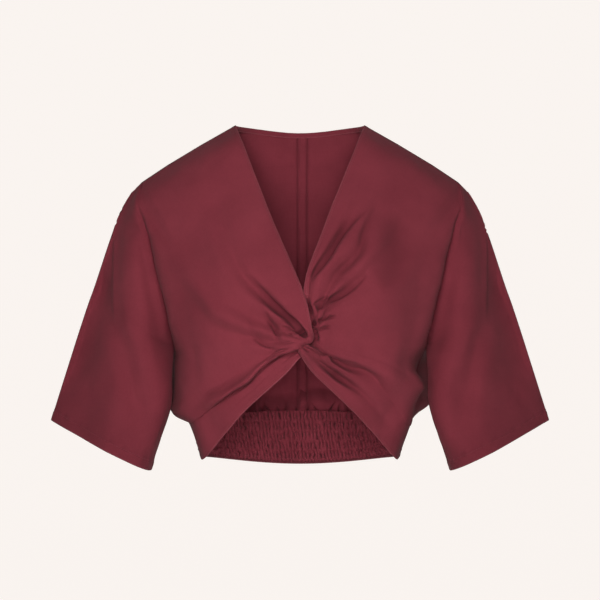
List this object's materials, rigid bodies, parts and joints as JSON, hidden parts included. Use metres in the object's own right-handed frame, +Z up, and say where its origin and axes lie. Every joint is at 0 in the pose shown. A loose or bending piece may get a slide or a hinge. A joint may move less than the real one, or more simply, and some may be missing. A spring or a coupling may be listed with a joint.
{
  "type": "crop top",
  "caption": "Twist-front crop top with a deep V neck, loose elbow-length sleeves cut in one with the body, and a smocked back waistband, shown as worn.",
  "frame": {"origin": "midway between the two neck points, where the shoulder seams meet the neckline", "axes": "+Z up, -Y is the front, +X to the right as seen from the front"},
  "size_m": [0.6478, 0.25, 0.4479],
  "materials": {
    "front_left": "matt washed cotton, burgundy",
    "front_right": "matt washed cotton, burgundy",
    "back_left": "matt washed cotton, burgundy",
    "back_right": "matt washed cotton, burgundy",
    "back_waistband": "matt washed cotton, burgundy, smocked",
    "neck_binding": "matt washed cotton, burgundy"
  },
  "bodies": {
    "root": {"front_left": "front_left", "front_right": "front_right", "back_left": "back_left", "back_right": "back_right", "back_waistband": "back_waistband", "neck_binding": "neck_binding"}
  },
  "joints": []
}
